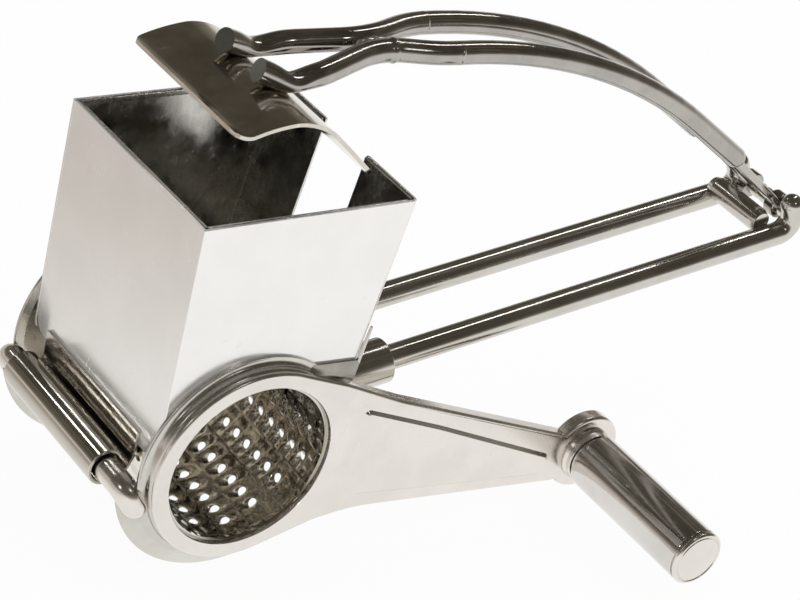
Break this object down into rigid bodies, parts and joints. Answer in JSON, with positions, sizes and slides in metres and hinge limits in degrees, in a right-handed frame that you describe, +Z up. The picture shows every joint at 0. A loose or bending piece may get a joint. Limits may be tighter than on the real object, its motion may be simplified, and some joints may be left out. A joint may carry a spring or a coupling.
{
  "type": "rotary drum grater",
  "caption": "Hand held rotary drum grater in stainless steel with a square hopper, perforated drum, crank and hinged press arm over a tubular handle.",
  "frame": {"origin": "on the drum axis, in the outer face of the front hopper wall", "axes": "+X along the handle towards the hinge, -Y out of the drum's open end on the crank side, +Z up to the hopper rim"},
  "size_m": [0.2385, 0.1268, 0.1358],
  "materials": {
    "polished_steel": "stamped and polished stainless steel with fine scratches",
    "drum_steel": "bright stainless sheet, punched with raised teeth",
    "grip_liner": "plain liner tube inside the grip"
  },
  "bodies": {
    "frame": {"hopper_shell": "polished_steel", "hopper_side_wall": "polished_steel", "front_collar": "polished_steel", "rear_collar": "polished_steel", "rear_bush": "polished_steel", "side_bar": "polished_steel", "side_sleeve": "polished_steel", "side_strap": "polished_steel", "handle_tube_front": "polished_steel", "handle_tube_rear": "polished_steel", "ferrule_front": "polished_steel", "ferrule_rear": "polished_steel", "cross_brace": "polished_steel", "hinge_bar": "polished_steel"},
    "press_arm": {"arm_tube_front": "polished_steel", "arm_tube_rear": "polished_steel", "press_plate": "polished_steel", "arm_tie": "polished_steel", "hinge_strap_front": "polished_steel", "hinge_strap_rear": "polished_steel"},
    "drum": {"drum_shell": "drum_steel", "drum_neck": "polished_steel", "drum_back": "drum_steel", "drum_axle": "polished_steel", "crank_plate": "polished_steel", "grip_boss": "polished_steel", "grip_pin": "polished_steel"},
    "grip": {"grip_core": "grip_liner", "grip_sleeve": "polished_steel", "grip_cap": "polished_steel"}
  },
  "joints": [
    {"name": "crank_spin", "type": "hinge", "parent": "frame", "child": "drum", "pos_m": [0, 0, 0], "axis": [0, -1, 0], "continuous": true},
    {"name": "arm_hinge", "type": "hinge", "parent": "frame", "child": "press_arm", "pos_m": [0.197, 0.0324, 0.032], "axis": [0, 1, 0], "range_deg": [-18.5, 100]},
    {"name": "grip_spin", "type": "hinge", "parent": "drum", "child": "grip", "pos_m": [0.1153, -0.03, -0.0195], "axis": [0, -1, 0], "continuous": true}
  ]
}
